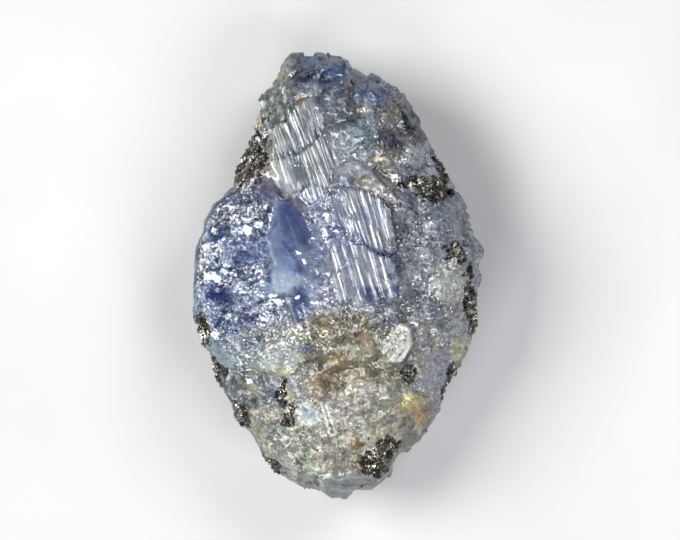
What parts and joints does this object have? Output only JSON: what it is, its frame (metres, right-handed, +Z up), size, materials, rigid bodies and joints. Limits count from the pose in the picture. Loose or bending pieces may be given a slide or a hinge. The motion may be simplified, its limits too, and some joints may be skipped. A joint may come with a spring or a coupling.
{
  "type": "tanzanite crystal",
  "caption": "Rough tanzanite crystal lying on a cleavage face: blue-violet gem zones, grey quartz, pale calcite and dark graphite grown together as one stone.",
  "frame": {"origin": "middle of the bounding box, on the flat cleavage face that the stone rests on", "axes": "+Z up, out of the face that is shown; +Y along the stone, towards its narrow end; +X across it"},
  "size_m": [0.0292, 0.0448, 0.0181],
  "materials": {
    "zoisite": "rough blue-violet crystal, clear to milky, with a glassy lustre on its cleavages and striae"
  },
  "bodies": {
    "root": {"tanzanite_crystal": "zoisite"}
  },
  "joints": []
}
